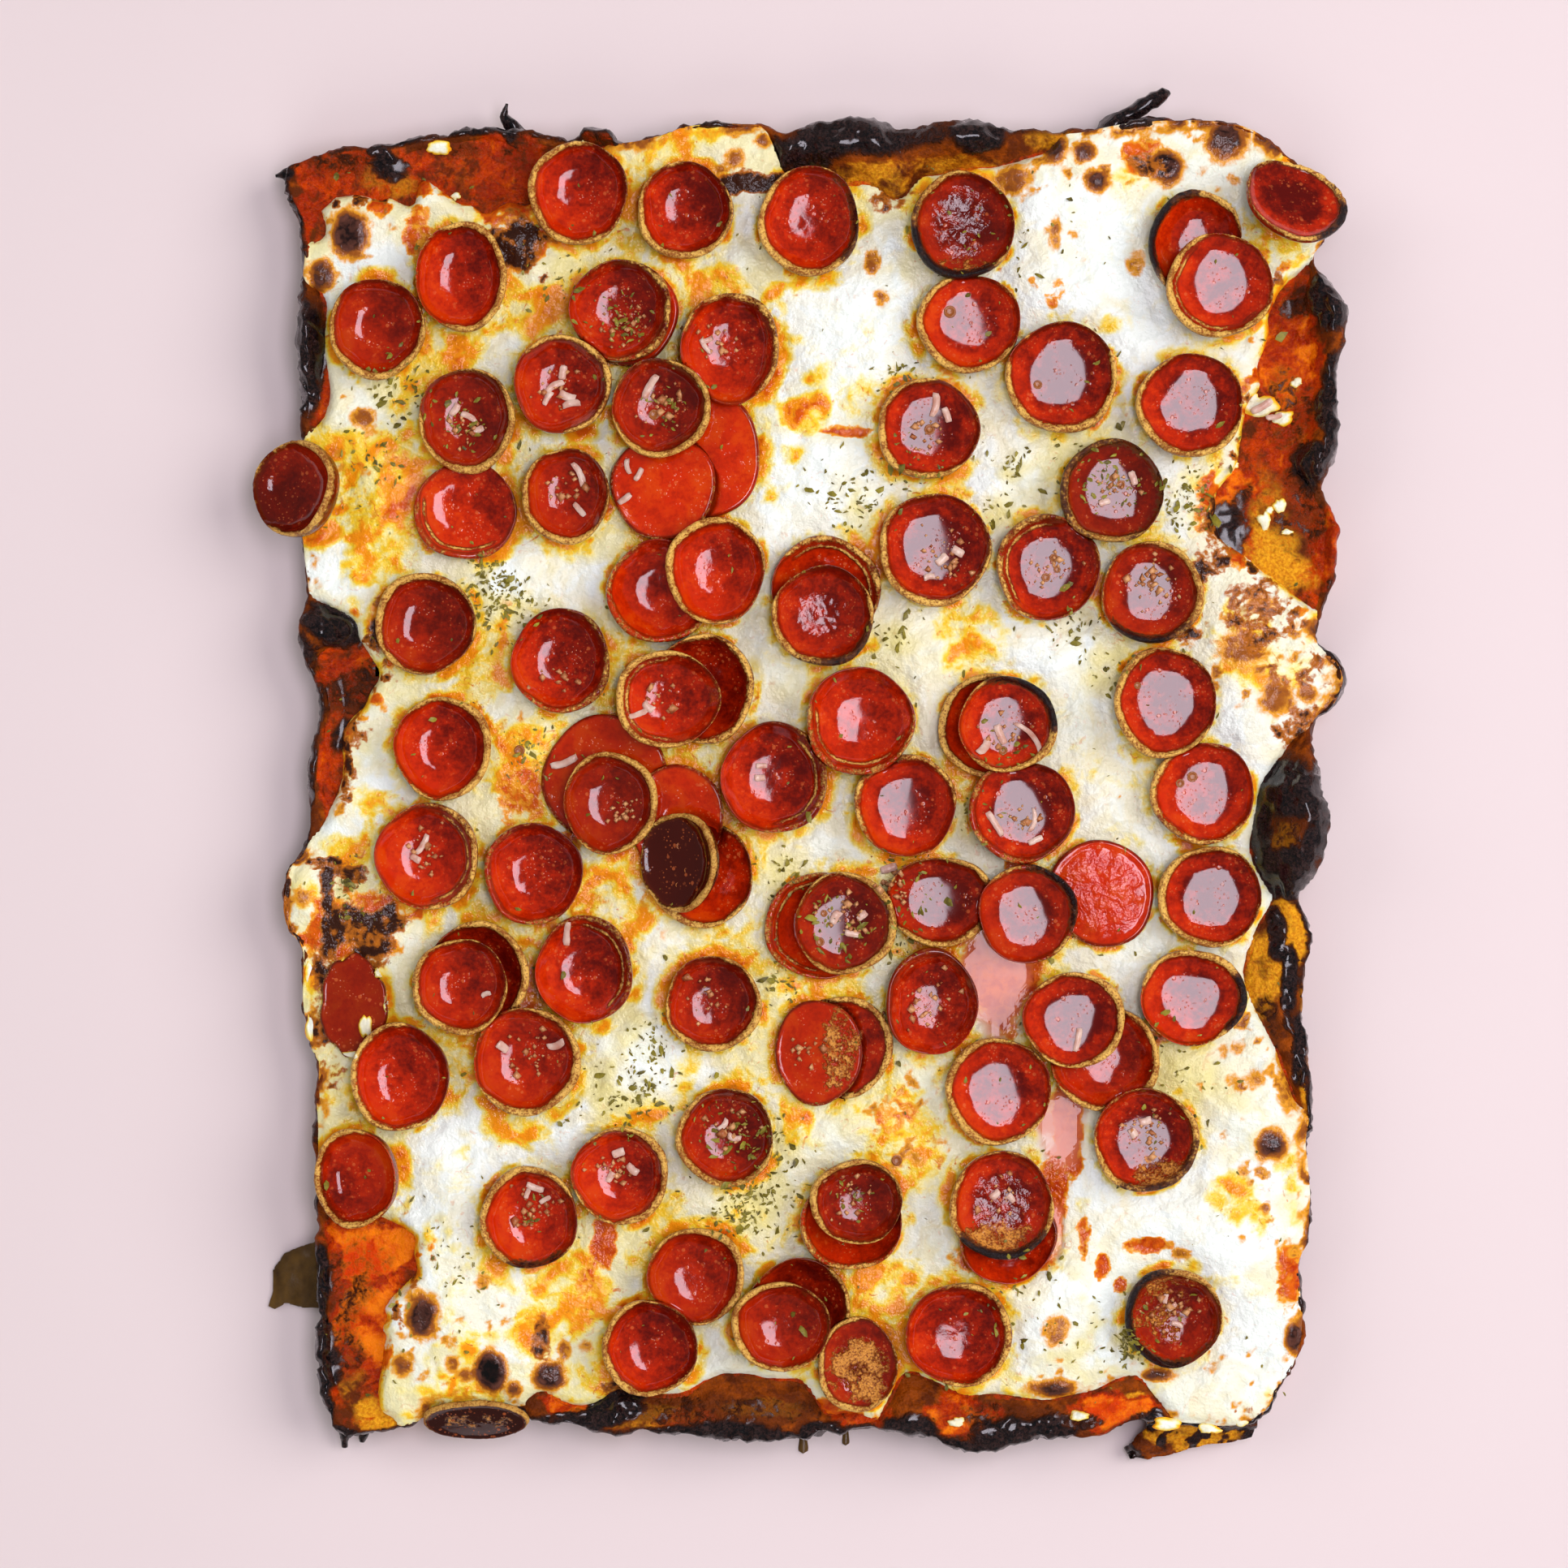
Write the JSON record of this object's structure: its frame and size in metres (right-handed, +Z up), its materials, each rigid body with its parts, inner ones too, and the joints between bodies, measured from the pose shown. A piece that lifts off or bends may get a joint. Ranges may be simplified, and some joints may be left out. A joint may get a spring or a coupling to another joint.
{
  "type": "pepperoni pizza",
  "caption": "Whole rectangular pan pizza: thick crust with a charred, bubbled rim, tomato sauce, melted cheese and curled pepperoni cups all over the top.",
  "frame": {"origin": "middle of the pizza's outline, on the flat underside that rests on the table", "axes": "+Z up out of the toppings, +Y along the longer side, +X along the shorter side"},
  "size_m": [0.324, 0.4084, 0.0365],
  "materials": {
    "crust": "baked bread dough, golden to dark brown, charred black at its humps, dry and rough",
    "sauce": "cooked tomato sauce, red to orange, wet and grainy",
    "cheese": "melted mozzarella, off-white with yellow and orange oil, brown blisters, moist",
    "pepperoni": "cured sausage curled into cups, deep red, oily and glossy, golden brown rim"
  },
  "bodies": {
    "root": {"cheese": "cheese", "crust": "crust", "pepperoni_a": "pepperoni", "pepperoni_aa": "pepperoni", "pepperoni_ab": "pepperoni", "pepperoni_ad": "pepperoni", "pepperoni_ae": "pepperoni", "pepperoni_ag": "pepperoni", "pepperoni_ahai": "pepperoni", "pepperoni_ajamn": "pepperoni", "pepperoni_ak": "pepperoni", "pepperoni_ao": "pepperoni", "pepperoni_aq": "pepperoni", "pepperoni_ar": "pepperoni", "pepperoni_atw": "pepperoni", "pepperoni_au": "pepperoni", "pepperoni_avy": "pepperoni", "pepperoni_ax": "pepperoni", "pepperoni_b": "pepperoni", "pepperoni_bd": "pepperoni", "pepperoni_bg": "pepperoni", "pepperoni_bh": "pepperoni", "pepperoni_bijk": "pepperoni", "pepperoni_bl": "pepperoni", "pepperoni_bm": "pepperoni", "pepperoni_bn": "pepperoni", "pepperoni_bo": "pepperoni", "pepperoni_bp": "pepperoni", "pepperoni_bq": "pepperoni", "pepperoni_brt": "pepperoni", "pepperoni_bsu": "pepperoni", "pepperoni_bv": "pepperoni", "pepperoni_bw": "pepperoni", "pepperoni_bx": "pepperoni", "pepperoni_by": "pepperoni", "pepperoni_bz": "pepperoni", "pepperoni_c": "pepperoni", "pepperoni_de": "pepperoni", "pepperoni_fw": "pepperoni", "pepperoni_g": "pepperoni", "pepperoni_h": "pepperoni", "pepperoni_i": "pepperoni", "pepperoni_jk": "pepperoni", "pepperoni_lmop": "pepperoni", "pepperoni_n": "pepperoni", "pepperoni_pile": "pepperoni", "pepperoni_q": "pepperoni", "pepperoni_row": "pepperoni", "pepperoni_rs": "pepperoni", "pepperoni_t": "pepperoni", "pepperoni_u": "pepperoni", "pepperoni_vaf": "pepperoni", "pepperoni_x": "pepperoni", "pepperoni_y": "pepperoni", "pepperoni_z": "pepperoni", "sauce": "sauce"}
  },
  "joints": []
}
